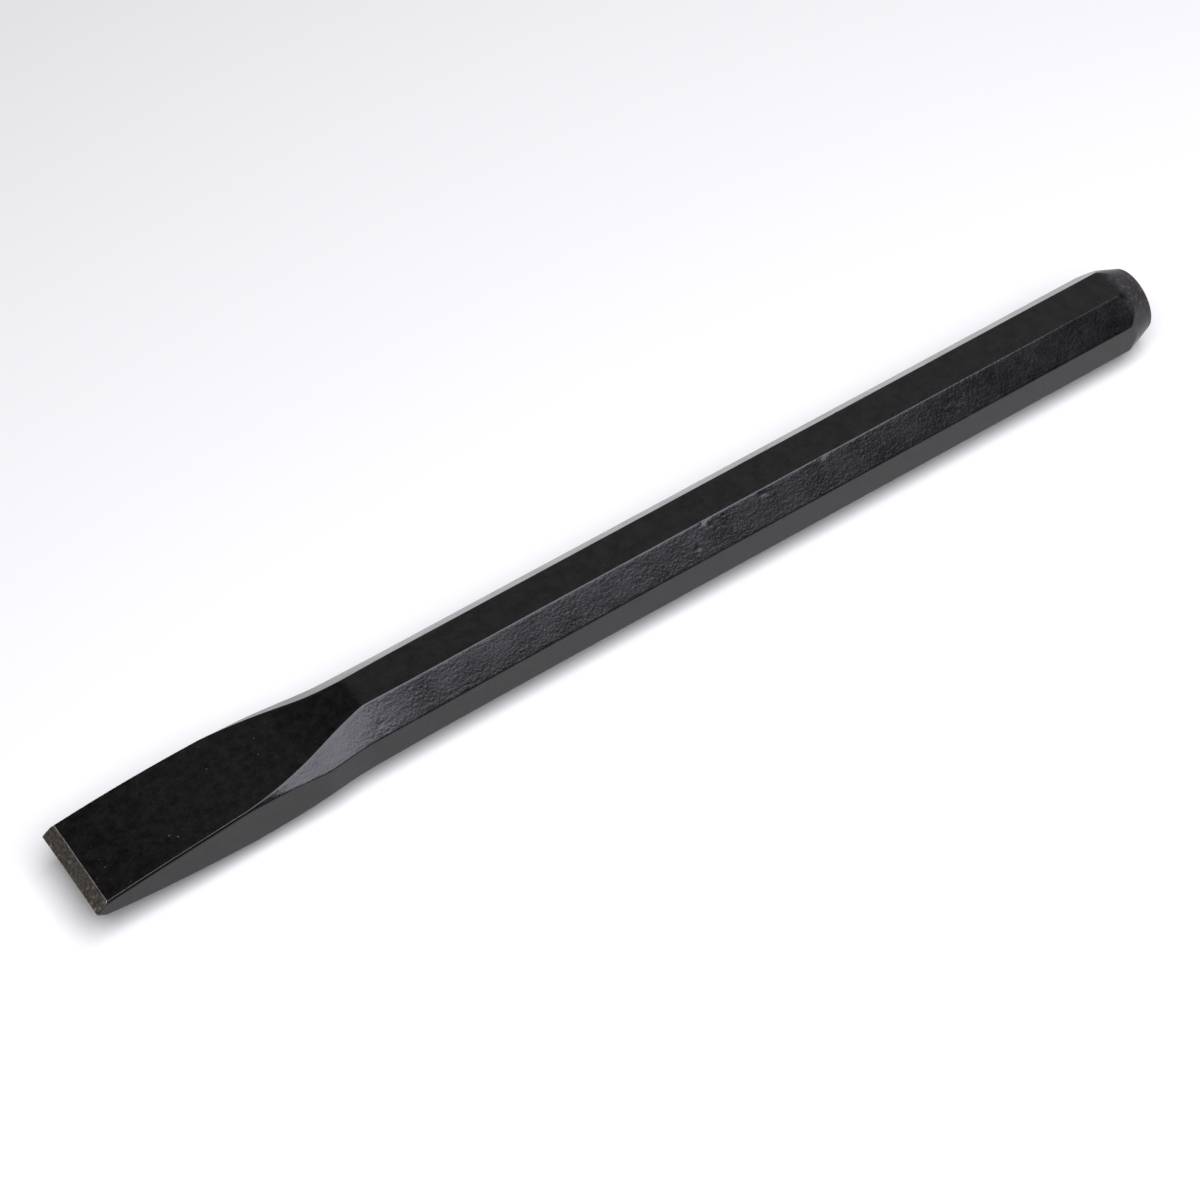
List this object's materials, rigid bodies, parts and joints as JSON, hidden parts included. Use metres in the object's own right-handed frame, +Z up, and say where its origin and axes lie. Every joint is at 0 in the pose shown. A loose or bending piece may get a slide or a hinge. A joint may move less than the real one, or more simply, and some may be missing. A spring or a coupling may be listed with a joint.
{
  "type": "cold chisel",
  "caption": "Flat cold chisel: octagonal forged steel bar with a flared flat blade, bare ground bevels and a coned striking head, under black lacquer.",
  "frame": {"origin": "on the surface that the chisel lies on, under the middle of its bounding box", "axes": "+X along the bar from the cutting edge to the struck head, Y across the blade, +Z up through its thickness"},
  "size_m": [0.3, 0.0268, 0.0204],
  "materials": {
    "ground_steel": "satin",
    "black_lacquer": "satin"
  },
  "bodies": {
    "root": {"chisel_forging": "ground_steel", "lacquer_coat": "black_lacquer"}
  },
  "joints": []
}
